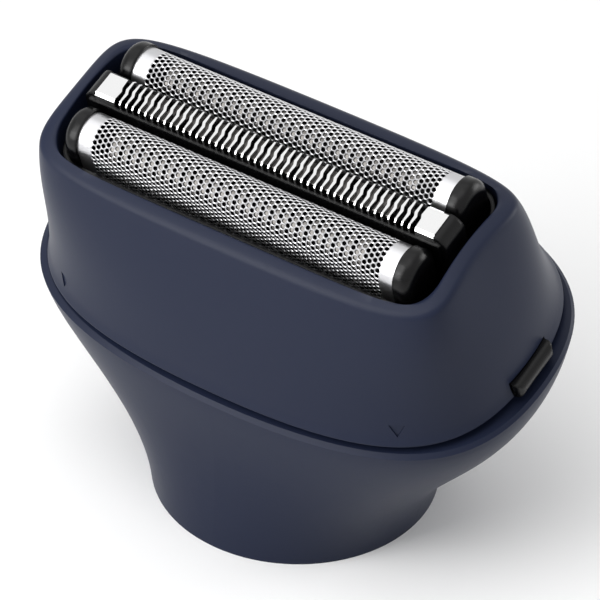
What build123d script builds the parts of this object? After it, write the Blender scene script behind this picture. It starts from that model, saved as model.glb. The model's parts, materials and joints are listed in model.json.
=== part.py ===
"""Foil head of an electric shaver: a flared neck carries a tilted head with two arched foils,
a slit comb between them, the cutters under them and the crank drive that swings the cutters.

Millimetres, +Z up. The origin is the centre of the neck's open end. X runs along the foils and
-Y is the front, to which the head leans. The head frame has its own Z square to the flange.
"""
import os
from math import cos, pi, radians, sin, tan

from build123d import *

# Head attitude over the neck
head_tilt = 16.5
head_back = 1.45
tilt_lateness = 2.66

# Travel and clearances
float_travel = 1.5
running_gap = 0.04
blade_gap_to_foil = 0.06
sliding_gap = 0.06
fit_gap = 0.15
free_gap = 0.3
stop_gap = 0.05
overcut = 1.0

# Foils, which set the length of the head
foil_half_length = 20.0
foil_radius = 2.58
foil_thickness = 0.12
foil_drop = 5.73
foil_hole_radius = 0.8
foil_hole_pitch = 3.0
foil_hole_rise = 1.5
foil_hole_margin = 3.5
foil_hole_rows = 7

# Foil carriers
carrier_lip = 0.28
carrier_end = 1.9
carrier_round = 1.1
carrier_core_length = 1.2
carrier_drop = 1.05
carrier_rail_height = 2.2
carrier_foot_reach = 2.21
carrier_foot_half_width = 1.2
carrier_gap = 0.12

# Slit comb and its carrier
comb_half_width = 1.69
comb_rise = 2.66
comb_wall = 0.35
comb_bevel = 0.3
comb_depth = 5.5
comb_overhang = 1.39
comb_plate = 2.15
slit_pitch = 0.83
slit_middle_width = 0.48
slit_end_width = 0.66
slit_kink = 0.115
slit_jog = 0.25
slit_depth = 2.4
comb_rail = 0.3
comb_rail_drop = 0.95
nose_length = 1.5
nose_drop = 1.6
nose_setback = 0.08

# Cassette liner
liner_wall = 0.5
liner_side_wall = 0.7
liner_collar_gap = 0.15
liner_setback = 0.8
liner_collar = 4.05
liner_step_thickness = 1.2
liner_skirt = 3.95
liner_side_gap = 0.37
liner_end_gap = 1.15
skirt_corner = 4.6

# Foil frame: how far each section stands out from the one above it
opening_corner = 4.1
opening_height = 18.3
opening_lip = 0.12
arch_rise = 0.63
rim_slope = 0.9
rim_spread = (1.45, 1.5)
shoulder_drop = 4.9
shoulder_spread = (2.3, 2.7)
cap_waist_height = 6.0
waist_spread = (1.45, 2.65)
cap_lift = 0.8
foot_spread = (0.55, 1.85)
cap_foot_fullness = (0.75, 0.75)
cap_rim_fullness = (1.157, 0.909)
crest_fullness = (1.197, 0.973)
cap_foot_round = 0.7
cap_wall = 1.9
mark_inset = 7.6
mark_height = 2.6
mark_size = 0.87
mark_depth = 0.12

# Lower body
ledge_spread = (1.6, 0.7)
flange_fullness = (0.726, 0.726)
flange_land = 4.7
flange_round = 0.4
flare_bias = 0.97
neck_half_width = 15.7
neck_oval = 0.4
neck_waist = 0.98
neck_wall = 2.5
neck_bore_depth = 7.0
body_wall = 2.0
body_sections = 5
shoulder_thickness = 1.6
shoulder_width = 2.8

# Neck bulkhead and its screws
bulkhead_step = 0.6
bulkhead_thickness = 2.2
bulkhead_screw_count = 3
seal_ring_width = 0.8
seal_groove_width = 1.1

# Screws
screw_radius = 0.8
screw_head_radius = 1.6
screw_head_height = 0.9
screw_length = 5.0
screw_slot = 0.4
boss_wall = 1.2

# Drive deck
groove_depth = 1.0
deck_spigot_depth = 1.6
deck_rim_height = 2.4
deck_rim_wall = 1.3
deck_screw_inset = (1.0, 1.1)

# Cutters
cutter_end_gap = 4.0
cutter_wall = 0.5
blade_pitch = 1.12
blade_gap = 0.72
blade_drop = 4.53
holder_drop = 2.33
holder_bar_height = 3.4
holder_half_length = 5.0
slit_cutter_wall = 0.3
slit_cutter_rise = 0.6
slit_cutter_pitch = 1.57
slit_cutter_gap = 0.7
slit_cutter_root = 0.1
slit_holder_drop = 2.1

# Drive bridge
bridge_end_gap = 6.0
bridge_bottom = 2.6
bridge_top = 4.6
bridge_eye_length = 4.0
bridge_eye_wall = 0.6
post_length = 2.4
post_width = 1.0
post_grip = 2.2
bridge_roof = 0.9
rod_radius = 0.8
rod_spread = 3.33
lug_length = 2.4
lug_gap = 2.2

# Crank drive
crank_offset = 1.2
crank_room = 3.1
pin_radius = 0.9
pin_grip = 1.1
shaft_radius = 1.5
shaft_grip = 1.1
bush_radius = 3.0
bush_length = 2.5
bush_pitch = 3.3
shaft_seal_length = 1.2
tube_wall = 1.4
disc_radius = 4.2
disc_thickness = 2.6
bell_wall = 1.2
coupling_recess = 0.2
coupling_radius = 3.9
coupling_length = 5.2
coupling_grip = 2.6
socket_radius = 2.1
socket_depth = 2.6

# Springs
spring_mean_radius = 1.6
spring_wire_radius = 0.2
spring_turns = 3
spring_length = 3.8
button_spring_mean_radius = 0.75
button_spring_wire_radius = 0.14
button_spring_turns = 3
button_spring_solid = 1.1
spring_stop_length = 1.2

# Release buttons
button_half_width = 3.3
button_height = 2.0
button_proud = 0.95
button_lift = 0.15
button_flange_width = 0.9
button_flange_length = 1.2
button_flange_back = 0.6
button_travel = 1.2
button_round = 0.8
latch_height = 0.9
latch_length = 0.6
latch_half_width = 2.0

# Along the head, from the foils out to the flange
carrier_half_width = foil_radius + carrier_lip
carrier_reach = foil_half_length + carrier_end
comb_half_length = foil_half_length + comb_overhang
liner_inner_half_length = carrier_reach + liner_end_gap
opening_half_length = liner_inner_half_length + liner_wall
cap_rim_half_length = opening_half_length + rim_spread[0]
cap_shoulder_half_length = cap_rim_half_length + shoulder_spread[0]
cap_waist_half_length = cap_shoulder_half_length + waist_spread[0]
cap_foot_half_length = cap_waist_half_length + foot_spread[0]
flange_half_length = cap_foot_half_length + ledge_spread[0]
mark_half_length = cap_foot_half_length - mark_inset

# Across the head, from the comb out to the flange
comb_carrier_half = comb_half_width + comb_rail
foil_offset = comb_carrier_half + carrier_gap + carrier_half_width
liner_inner_half_width = foil_offset + carrier_half_width + liner_side_gap
opening_half_width = liner_inner_half_width + liner_side_wall
cap_rim_half_width = opening_half_width + rim_spread[1]
cap_shoulder_half_width = cap_rim_half_width + shoulder_spread[1]
cap_waist_half_width = cap_shoulder_half_width + waist_spread[1]
cap_foot_half_width = cap_waist_half_width + foot_spread[1]
flange_half_width = cap_foot_half_width + ledge_spread[1]
rod_offset = foil_offset + rod_spread

# Up the head, from the deck to the foils
arch_height = opening_height + arch_rise
cap_rim_height = opening_height - rim_slope
cap_shoulder_height = cap_rim_height - shoulder_drop
liner_top = opening_height - liner_setback
liner_step_height = liner_top - liner_collar
liner_bottom = liner_step_height - liner_skirt
carrier_bottom = liner_step_height - carrier_drop
carrier_rail_top = carrier_bottom + carrier_rail_height
foil_foot = arch_height - foil_drop
comb_top = arch_height + comb_rise
comb_foot = comb_top - comb_depth
comb_rail_top = comb_top - comb_rail_drop
blade_foot = arch_height - blade_drop
holder_top = arch_height - holder_drop
holder_bar_bottom = holder_top - holder_bar_height
holder_bottom = bridge_top + spring_length
post_top = holder_bottom + post_grip
slit_cutter_foot = comb_foot + slit_cutter_rise
slit_holder_top = comb_top - slit_holder_drop

# Lengths and counts of the moving parts
stroke = crank_offset
cutter_half_length = foil_half_length - cutter_end_gap
bridge_half_length = foil_half_length - bridge_end_gap
deck_screw_x = bridge_half_length + deck_screw_inset[0]
deck_screw_y = rod_offset + deck_screw_inset[1]
foil_hole_columns = 1 + int(2 * (foil_half_length - foil_hole_margin) / foil_hole_pitch)
slit_count = int(2 * (comb_half_length - comb_plate) / slit_pitch)
blade_count = int(2 * cutter_half_length / blade_pitch)
slit_cutter_count = int(2 * cutter_half_length / slit_cutter_pitch)

# Up the neck, from its mouth to the head
neck_half_length = neck_half_width + neck_oval
neck_bore_radius = neck_half_width - neck_wall
coupling_bottom = neck_bore_depth + coupling_recess
coupling_top = coupling_bottom + coupling_length
tube_bottom = coupling_top + 2 * free_gap
tube_top = tube_bottom + shaft_seal_length + bush_length + bush_pitch
disc_bottom = tube_top + free_gap
disc_top = disc_bottom + disc_thickness
head_rise = disc_top + crank_room

round_fullness = (4 / 3 * (2 ** 0.5 - 1),) * 2
tilt = radians(head_tilt)
head = Pos(0, head_back, head_rise) * Rot(head_tilt, 0, 0)


def outline(half_length, half_width, fullness):
    """Face inside a rounded oval of four equal quarters.

    Fullness is the reach of each quarter's handles, along the oval and across it: 0.55 for both
    is an ellipse, and about 1 is nearly a rectangle.
    """
    along, across = fullness
    side, crown = (half_length, 0), (0, half_width)
    quarter = Bezier(side, (half_length, across * half_width), (along * half_length, half_width), crown)
    half = [quarter, mirror(quarter, Plane.YZ)]
    return make_face(half + [mirror(edge, Plane.XZ) for edge in half])


def between(first, last, share):
    """Pair of values at a share of the way from one pair to another."""
    return tuple(a + (b - a) * share for a, b in zip(first, last))


def slab(sketch, low, high):
    """Upright solid on a plan sketch, between two heights."""
    return Pos(0, 0, low) * extrude(sketch, high - low)


def block(x_range, y_range, z_range):
    """Square-edged block from its ranges along the three axes."""
    size = [high - low for low, high in (x_range, y_range, z_range)]
    middle = [(high + low) / 2 for low, high in (x_range, y_range, z_range)]
    return Pos(*middle) * Box(*size)


def rod(radius, low, high):
    """Upright cylinder between two heights."""
    return Pos(0, 0, (low + high) / 2) * Cylinder(radius, high - low)


def ring(outer, inner, low, high):
    """Upright tube between two heights."""
    return rod(outer, low, high) - rod(inner, low - overcut, high + overcut)


def cross_rod(radius, half_length, y, z):
    """Cylinder that lies along X, centred on X = 0."""
    return Pos(0, y, z) * Rot(0, 90, 0) * Cylinder(radius, 2 * half_length)


def along_x(profile, half_length):
    """Solid on a cross-section drawn in Y and Z, centred on X = 0."""
    return extrude(Plane.YZ * profile, half_length, both=True)


def both_ends(shape):
    """The shape and its mirror image at the other end of the head."""
    return shape + mirror(shape, Plane.YZ)


def coil_spring(mean_radius, wire_radius, length, turns):
    """Open coil spring of six-sided wire that stands on Z = 0 with a small gap at both seats."""
    rise = length - 2 * wire_radius - 2 * stop_gap
    path = Helix(pitch=rise / turns, height=rise, radius=mean_radius)
    section = Plane(origin=path @ 0, z_dir=path % 0) * RegularPolygon(wire_radius, 6)
    return Pos(0, 0, wire_radius + stop_gap) * sweep(section, path=path, is_frenet=True)


# Lower body

def body_half_length(share):
    """Half length at a share of the rise: an S-curve from the neck to the flange."""
    eased = share ** flare_bias
    return neck_half_length + (flange_half_length - neck_half_length) * eased * eased * (3 - 2 * eased)


def body_half_width(share):
    """Half width at a share of the rise: drawn in at the waist, widening to the flange."""
    widening = (flange_half_width - neck_half_width) * share ** 2
    return neck_half_width + widening - neck_waist * sin(pi * share)


def body_section(share, inset):
    """One cross-section of the lower body, level at the neck and tilted at the flange."""
    bend = share ** tilt_lateness
    place = Pos(0, head_back * bend, head_rise * share) * Rot(head_tilt * bend, 0, 0)
    fullness = between(round_fullness, flange_fullness, share)
    face = outline(body_half_length(share) - inset, body_half_width(share) - inset, fullness)
    return place * face


def wall_inset(share):
    """Depth from the outside to the hollow: the wall, thickened to the flange's land."""
    return body_wall + (flange_land - body_wall) * share ** 2


hollow_floor = neck_bore_depth + bulkhead_thickness + shoulder_thickness
bulkhead_radius = neck_bore_radius - bulkhead_step
shoulder_radius = bulkhead_radius - shoulder_width
bulkhead_screw_circle = bulkhead_radius - seal_groove_width - screw_head_radius
bulkhead_top = neck_bore_depth + bulkhead_thickness
boss_radius = screw_radius + boss_wall
deck_top = cap_lift
deck_opening_half_length = flange_half_length - flange_land
deck_opening_half_width = flange_half_width - flange_land


def around_neck(shape):
    """Copies of a shape spaced round the neck axis, one for each bulkhead screw."""
    step = 360 / bulkhead_screw_count
    return [Rot(0, 0, 90 + step * i) * Pos(bulkhead_screw_circle, 0, 0) * shape
            for i in range(bulkhead_screw_count)]


def at_deck_screws(shape):
    """Copies of a head-frame shape at the four deck screws."""
    return [head * Pos(x, y, 0) * shape
            for x in (-deck_screw_x, deck_screw_x) for y in (-deck_screw_y, deck_screw_y)]


def make_lower_body():
    """Flared neck shell with screw columns, a stepped bore and an open flange."""
    shares = [i / (body_sections - 1) for i in range(body_sections)]
    outside = loft([body_section(share, 0).face() for share in shares])
    floor_share = hollow_floor / head_rise
    inner_shares = [floor_share, (1 + floor_share) / 2, 1]
    hollow = loft([body_section(share, wall_inset(share)).face() for share in inner_shares], ruled=True)
    head_up = Axis((0, head_back, head_rise), (0, -sin(tilt), cos(tilt)))
    edge = outside.faces().sort_by(head_up)[-1].outer_wire().edges()
    body = chamfer(edge, flange_round) - hollow
    columns = at_deck_screws(rod(boss_radius, -head_rise, -deck_spigot_depth))
    body += [column & outside for column in columns]
    mouth = outline(deck_opening_half_length, deck_opening_half_width, flange_fullness)
    body -= head * slab(mouth, -deck_spigot_depth, overcut)
    body -= rod(neck_bore_radius, -overcut, neck_bore_depth)
    body -= rod(bulkhead_radius, neck_bore_depth - overcut, bulkhead_top)
    body -= rod(shoulder_radius, bulkhead_top - overcut, hollow_floor + overcut)
    body += around_neck(rod(boss_radius, bulkhead_top, bulkhead_top + screw_length + boss_wall))
    body -= at_deck_screws(rod(screw_radius, deck_top - screw_head_height - screw_length, 0))
    screw_tip = neck_bore_depth + screw_head_height + screw_length
    return body - around_neck(rod(screw_radius, bulkhead_top - overcut, screw_tip))


def make_screw():
    """Pan-headed screw whose head stands on Z = 0, shank down."""
    head_disc = rod(screw_head_radius, 0, screw_head_height)
    slot = block((-screw_head_radius, screw_head_radius), (-screw_slot / 2, screw_slot / 2),
                 (screw_head_height / 2, screw_head_height))
    return head_disc + rod(screw_radius, -screw_length, 0) - slot


def make_bulkhead():
    """Disc that closes the neck round the drive coupling, with a groove for the seal ring."""
    plate = rod(bulkhead_radius - running_gap, neck_bore_depth, bulkhead_top)
    plate -= rod(coupling_radius + free_gap, 0, head_rise)
    middle = neck_bore_depth + bulkhead_thickness / 2
    half = seal_groove_width / 2
    groove_floor = bulkhead_radius - seal_ring_width - fit_gap
    plate -= ring(neck_bore_radius, groove_floor, middle - half, middle + half)
    hole = rod(screw_radius + running_gap, 0, head_rise)
    seat = rod(screw_head_radius + fit_gap, 0, neck_bore_depth + screw_head_height)
    return plate - around_neck(hole + seat)


# Drive deck

deck_half_length = cap_foot_half_length - groove_depth
deck_half_width = cap_foot_half_width - groove_depth
rim_top = deck_top + deck_rim_height
rim_share = (rim_top - cap_lift) / (cap_waist_height - cap_lift)
cap_draft_length = (cap_foot_half_length - cap_waist_half_length) * rim_share
cap_draft_width = (cap_foot_half_width - cap_waist_half_width) * rim_share
rim_half_length = cap_foot_half_length - cap_draft_length - cap_wall - fit_gap
rim_half_width = cap_foot_half_width - cap_draft_width - cap_wall - fit_gap
rod_height = (bridge_bottom + bridge_top) / 2
lug_inner = bridge_half_length + stroke + lug_gap
rod_half_length = lug_inner + lug_length / 2
tube_radius = bush_radius + tube_wall
bell_radius = disc_radius + 2 * free_gap + bell_wall
button_bottom = deck_top + button_lift
button_top = button_bottom + button_height
button_outer = cap_foot_half_length + button_proud
flange_outer_x = rim_half_length - deck_rim_wall - button_flange_back
flange_inner_x = flange_outer_x - button_flange_length
button_spring_length = button_travel + button_spring_solid
spring_seat_x = flange_inner_x - button_spring_length


def make_deck():
    """Chassis plate with the register rim, rod lugs, spring pegs and the bearing tube below."""
    plate = slab(outline(deck_half_length, deck_half_width, cap_foot_fullness), 0, deck_top)
    spigot = outline(deck_opening_half_length - fit_gap, deck_opening_half_width - fit_gap, flange_fullness)
    plate += slab(spigot, -deck_spigot_depth, 0)
    rim = outline(rim_half_length, rim_half_width, cap_foot_fullness)
    rim -= outline(rim_half_length - deck_rim_wall, rim_half_width - deck_rim_wall, cap_foot_fullness)
    plate += slab(rim, deck_top, rim_top)
    notch_half = button_half_width + fit_gap
    notch = block((flange_inner_x, cap_foot_half_length), (-notch_half, notch_half),
                  (deck_top, rim_top + overcut))
    plate -= both_ends(notch)
    lug_half = rod_radius + bridge_eye_wall
    for y in (-rod_offset, rod_offset):
        lug = block((lug_inner, lug_inner + lug_length), (y - lug_half, y + lug_half),
                    (0, rod_height + lug_half))
        plate += both_ends(lug)
        plate -= cross_rod(rod_radius, rod_half_length, y, rod_height)
    peg_z = (button_bottom + button_top) / 2
    peg_half = button_spring_mean_radius + 2 * button_spring_wire_radius
    stop = block((spring_seat_x - spring_stop_length, spring_seat_x), (-peg_half, peg_half),
                 (0, peg_z + peg_half))
    plate += both_ends(stop)
    deck = head * plate
    deck += rod(tube_radius, tube_bottom, head_rise - overcut)
    deck += rod(bell_radius, tube_top - bell_wall, head_rise - overcut)
    deck -= rod(bush_radius, tube_bottom - overcut, tube_top)
    deck -= rod(bell_radius - bell_wall, tube_top, 2 * head_rise)
    hole = rod(screw_radius + running_gap, -head_rise, head_rise)
    seat = rod(screw_head_radius + fit_gap, deck_top - screw_head_height, head_rise)
    return deck - at_deck_screws(hole + seat)


def make_guide_rod(side):
    """Steel rod along X on which the bridge runs."""
    return cross_rod(rod_radius, rod_half_length, side * rod_offset, rod_height)


# Crank drive, all on the neck axis

def make_coupling():
    """Drive coupling: a hexagon socket below and the shaft's bore above."""
    body = rod(coupling_radius, coupling_bottom, coupling_top)
    body -= slab(RegularPolygon(socket_radius, 6), coupling_bottom - overcut, coupling_bottom + socket_depth)
    return body - rod(shaft_radius, coupling_top - coupling_grip, coupling_top + overcut)


def make_shaft():
    """Straight drive shaft from the coupling to the blind bore under the crank disc."""
    return rod(shaft_radius, coupling_top - coupling_grip, disc_bottom + shaft_grip)


def make_disc():
    """Crank disc with a blind bore below for the shaft and one above, off its centre, for the pin."""
    disc = rod(disc_radius, disc_bottom, disc_top)
    disc -= rod(shaft_radius, disc_bottom - overcut, disc_bottom + shaft_grip)
    return disc - Pos(0, crank_offset, 0) * rod(pin_radius, disc_top - pin_grip, disc_top + overcut)


boss_bottom = deck_top + 2 * free_gap
pocket_roof = bridge_top - bridge_roof
orbit = crank_offset + pin_radius
pin_top = head_rise + (pocket_roof - free_gap - (orbit + head_back) * sin(tilt)) / cos(tilt)


def make_pin():
    """Crank pin that stands in the bridge's pocket, at the back of its orbit at rest."""
    return Pos(0, crank_offset, 0) * rod(pin_radius, disc_top - pin_grip, pin_top)


def make_bush(low):
    """Plain bearing bush for the shaft."""
    return ring(bush_radius, shaft_radius + running_gap, low, low + bush_length)


# Drive bridge

def axis_y(height):
    """Where the neck axis crosses a height of the head frame."""
    return height * tan(tilt) - head_back / cos(tilt)


def make_bridge():
    """Plate that runs on two rods, with a post for each cutter and a pocket for the crank pin."""
    eye_half = rod_radius + bridge_eye_wall
    half_width = rod_offset - eye_half + bridge_eye_wall
    bridge = block((-bridge_half_length, bridge_half_length), (-half_width, half_width),
                   (bridge_bottom, bridge_top))
    eye_x = (bridge_half_length - bridge_eye_length, bridge_half_length)
    for y in (-rod_offset, rod_offset):
        eye = block(eye_x, (y - eye_half, y + eye_half), (rod_height - eye_half, rod_height + eye_half))
        bridge += both_ends(eye)
        bridge -= cross_rod(rod_radius + running_gap, 2 * bridge_half_length, y, rod_height)
    pocket_half = stroke + orbit + free_gap
    reach = orbit / cos(tilt) + free_gap
    pocket_y = (axis_y(boss_bottom) - reach, axis_y(pocket_roof) + reach)
    boss_half = pocket_half + bridge_eye_wall
    boss_y = (pocket_y[0] - bridge_eye_wall, pocket_y[1] + bridge_eye_wall)
    bridge += block((-boss_half, boss_half), boss_y, (boss_bottom, bridge_bottom))
    bridge -= block((-pocket_half, pocket_half), pocket_y, (boss_bottom - overcut, pocket_roof))
    for y in (-foil_offset, 0, foil_offset):
        bridge += block((-post_length / 2, post_length / 2), (y - post_width / 2, y + post_width / 2),
                        (bridge_top, post_top))
    return bridge


# Cutters

def arch(radius, foot):
    """Cross-section of a half round on straight legs, filled."""
    legs = Pos(0, (arch_height + foot) / 2) * Rectangle(2 * radius, arch_height - foot)
    return Pos(0, arch_height) * Circle(radius) + legs


def channel(half_width, top, bevel, foot):
    """Cross-section of a bevelled bar, filled."""
    right = [(half_width, foot), (half_width, top - bevel), (half_width - bevel, top)]
    left = [(-y, z) for y, z in reversed(right)]
    return make_face(Polyline(*right, *left, close=True))


blade_radius = foil_radius - foil_thickness - blade_gap_to_foil
blade_floor = holder_top + stop_gap


def make_cutter():
    """Arched blades ground from one bent strip: slots leave a row of ribs on two straight legs."""
    strip = along_x(arch(blade_radius, blade_foot) - arch(blade_radius - cutter_wall, blade_foot - overcut),
                    cutter_half_length)
    first = -blade_pitch * (blade_count - 2) / 2
    slots = [Pos(first + blade_pitch * i, 0, blade_floor + blade_radius) *
             Box(blade_gap, 3 * blade_radius, 2 * blade_radius) for i in range(blade_count - 1)]
    return strip - slots


def make_socket():
    """Room for a bridge post and its travel in the underside of a cutter holder."""
    half_length = post_length / 2 + sliding_gap
    half_width = post_width / 2 + sliding_gap
    return block((-half_length, half_length), (-half_width, half_width),
                 (holder_bottom - overcut, post_top + float_travel + fit_gap))


def make_cutter_holder():
    """Bar inside the blades' legs with a hub that slides on its bridge post."""
    half_width = blade_radius - cutter_wall
    bar = block((-cutter_half_length, cutter_half_length), (-half_width, half_width),
                (holder_bar_bottom, holder_top))
    hub = block((-holder_half_length, holder_half_length), (-half_width, half_width),
                (holder_bottom, holder_bar_bottom))
    return bar + hub - make_socket()


mitre = 2 - 2 ** 0.5
comb_inner_half = comb_half_width - comb_wall
comb_inner_top = comb_top - comb_wall
comb_inner_bevel = comb_bevel - comb_wall * mitre
slit_cutter_half = comb_inner_half - blade_gap_to_foil
slit_cutter_top = comb_inner_top - blade_gap_to_foil
slit_cutter_bevel = comb_inner_bevel - blade_gap_to_foil * mitre
slit_web_half = slit_cutter_half - slit_cutter_wall
slit_hub_top = comb_foot - free_gap


def make_slit_cutter():
    """Moving blade under the slit comb: a narrow channel cut into teeth."""
    inner = channel(slit_web_half, slit_cutter_top - slit_cutter_wall, slit_cutter_root,
                    slit_cutter_foot - overcut)
    strip = along_x(channel(slit_cutter_half, slit_cutter_top, slit_cutter_bevel, slit_cutter_foot) - inner,
                    cutter_half_length)
    first = -slit_cutter_pitch * (slit_cutter_count - 1) / 2
    slots = [Pos(first + slit_cutter_pitch * i, 0, slit_holder_top + stop_gap + slit_depth) *
             Box(slit_cutter_gap, 3 * slit_cutter_half, 2 * slit_depth) for i in range(slit_cutter_count)]
    return strip - slots


def make_slit_holder():
    """Thin bar inside the slit cutter, a hub on the middle post and a foot for its spring."""
    spring_reach = spring_mean_radius + spring_wire_radius
    bar = block((-cutter_half_length, cutter_half_length), (-slit_web_half, slit_web_half),
                (slit_hub_top, slit_holder_top))
    hub_half = comb_half_width - fit_gap
    hub = block((-holder_half_length, holder_half_length), (-hub_half, hub_half),
                (holder_bottom, slit_hub_top))
    foot = block((-holder_half_length, holder_half_length), (-spring_reach, spring_reach),
                 (holder_bottom, holder_bottom + liner_wall))
    return bar + hub + foot - make_socket()


# Foils and their carriers

def make_foil():
    """Arched sheet with staggered six-sided holes over the crown and down both legs."""
    sheet = along_x(arch(foil_radius, foil_foot) - arch(foil_radius - foil_thickness, foil_foot - overcut),
                    foil_half_length)
    quarter = foil_radius * pi / 2
    punch = Pos(0, 0, -2 * foil_thickness) * extrude(RegularPolygon(foil_hole_radius, 6), 4 * foil_thickness)
    first_column = -foil_hole_pitch * (foil_hole_columns - 1) / 2
    punches = []
    for row in range(foil_hole_rows):
        along = foil_hole_rise * (row - (foil_hole_rows - 1) / 2)
        side = 1 if along > 0 else -1
        on_crown = abs(along) <= quarter
        turn = along / foil_radius if on_crown else side * pi / 2
        drop = 0 if on_crown else abs(along) - quarter
        seat = Pos(0, foil_radius * sin(turn), arch_height + foil_radius * cos(turn) - drop)
        shift = foil_hole_pitch / 2 * (row % 2)
        for column in range(foil_hole_columns - row % 2):
            x = first_column + shift + foil_hole_pitch * column
            punches.append(Pos(x, 0, 0) * seat * Rot(-turn * 180 / pi, 0, 0) * punch)
    return sheet - punches


foot_top = liner_step_height - stop_gap


def make_foil_carrier():
    """Two round-edged end caps joined by side rails, with a seat for each end of the foil."""
    end = extrude(Plane.YZ * arch(carrier_half_width, carrier_bottom), carrier_end)
    outer_face = end.faces().sort_by(Axis.X)[-1]
    rounded = outer_face.edges().sort_by(Axis.Z)[1:]
    end = Pos(foil_half_length, 0, 0) * fillet(rounded, carrier_round)
    end += block((foil_half_length, carrier_reach + carrier_foot_reach),
                 (-carrier_foot_half_width, carrier_foot_half_width), (carrier_bottom, foot_top))
    core = along_x(arch(foil_radius - foil_thickness, carrier_bottom), foil_half_length)
    core -= along_x(arch(foil_radius, carrier_bottom - overcut), foil_half_length - carrier_core_length)
    rail = Pos(foil_radius + carrier_lip / 2, (carrier_bottom + carrier_rail_top) / 2)
    rail *= Rectangle(carrier_lip, carrier_rail_top - carrier_bottom)
    rails = along_x(rail + mirror(rail, Plane.YZ), foil_half_length)
    return both_ends(end) + core + rails


def make_slit_comb():
    """Bevelled channel with kinked slits, wider at their ends, and plain plates beyond them."""
    hollow = channel(comb_inner_half, comb_inner_top, comb_inner_bevel, comb_foot - overcut)
    comb = along_x(channel(comb_half_width, comb_top, comb_bevel, comb_foot) - hollow, comb_half_length)
    reach = comb_half_width + overcut
    stations = (
        (slit_kink, -reach, slit_end_width),
        (slit_kink, -comb_half_width, slit_end_width),
        (slit_kink, -slit_jog, slit_middle_width),
        (-slit_kink, slit_jog, slit_middle_width),
        (-slit_kink, comb_half_width, slit_end_width),
        (-slit_kink, reach, slit_end_width),
    )
    left = [(x - width / 2, y) for x, y, width in stations]
    right = [(x + width / 2, y) for x, y, width in reversed(stations)]
    slit = slab(make_face(Polyline(*left, *right, close=True)), comb_top - slit_depth, comb_top + overcut)
    first = -slit_pitch * (slit_count - 1) / 2
    return comb - [Pos(first + slit_pitch * i, 0, 0) * slit for i in range(slit_count)]


comb_block_x = foil_half_length - comb_rail
nose_x = comb_half_length + nose_length
nose_top = comb_top - nose_setback


def make_comb_carrier():
    """End blocks that fill the comb's ends, a round-topped nose beyond each and a rail on both sides."""
    nose_side = nose_top - nose_drop
    round_top = EllipticalCenterArc((comb_half_length, nose_side), nose_length, nose_drop, arc_size=90)
    sides = Polyline((comb_half_length, nose_top), (comb_half_length, comb_foot), (nose_x, comb_foot),
                     (nose_x, nose_side))
    nose = extrude(Plane.XZ * make_face([round_top, sides]), comb_half_width, both=True)
    end = nose + block((comb_block_x, nose_x), (-comb_carrier_half, comb_carrier_half),
                       (carrier_bottom, comb_foot))
    end += block((comb_block_x, comb_half_length), (-comb_inner_half, comb_inner_half),
                 (comb_foot, comb_inner_top - comb_inner_bevel))
    end += block((nose_x, carrier_reach + carrier_foot_reach), (-comb_inner_half, comb_inner_half),
                 (carrier_bottom, foot_top))
    rail = Pos(comb_half_width + comb_rail / 2, (carrier_bottom + comb_rail_top) / 2)
    rail *= Rectangle(comb_rail, comb_rail_top - carrier_bottom)
    return both_ends(end) + along_x(rail + mirror(rail, Plane.YZ), comb_half_length + nose_length / 2)


# Cassette liner and foil frame

skirt_half_length = carrier_reach + carrier_foot_reach + free_gap + liner_wall
skirt_half_width = opening_half_width + 2 * liner_wall
liner_seat = liner_step_height + liner_step_thickness


def plan(half_length, half_width, corner):
    """Rounded rectangle from its half sizes."""
    return RectangleRounded(2 * half_length, 2 * half_width, corner)


def make_liner():
    """Black frame: a collar inside the opening and a wider skirt whose step holds the carriers."""
    collar_corner = opening_corner - liner_collar_gap
    collar = plan(opening_half_length - liner_collar_gap, opening_half_width - liner_collar_gap,
                  collar_corner)
    liner = slab(collar, liner_step_height, liner_top)
    liner += slab(plan(skirt_half_length, skirt_half_width, skirt_corner), liner_bottom, liner_seat)
    bore = plan(liner_inner_half_length, liner_inner_half_width, opening_corner - liner_side_wall)
    liner -= slab(bore, 0, 2 * liner_top)
    skirt_hollow = plan(skirt_half_length - liner_wall, skirt_half_width - liner_wall,
                        skirt_corner - liner_wall)
    return liner - slab(skirt_hollow, 0, liner_step_height)


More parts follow.
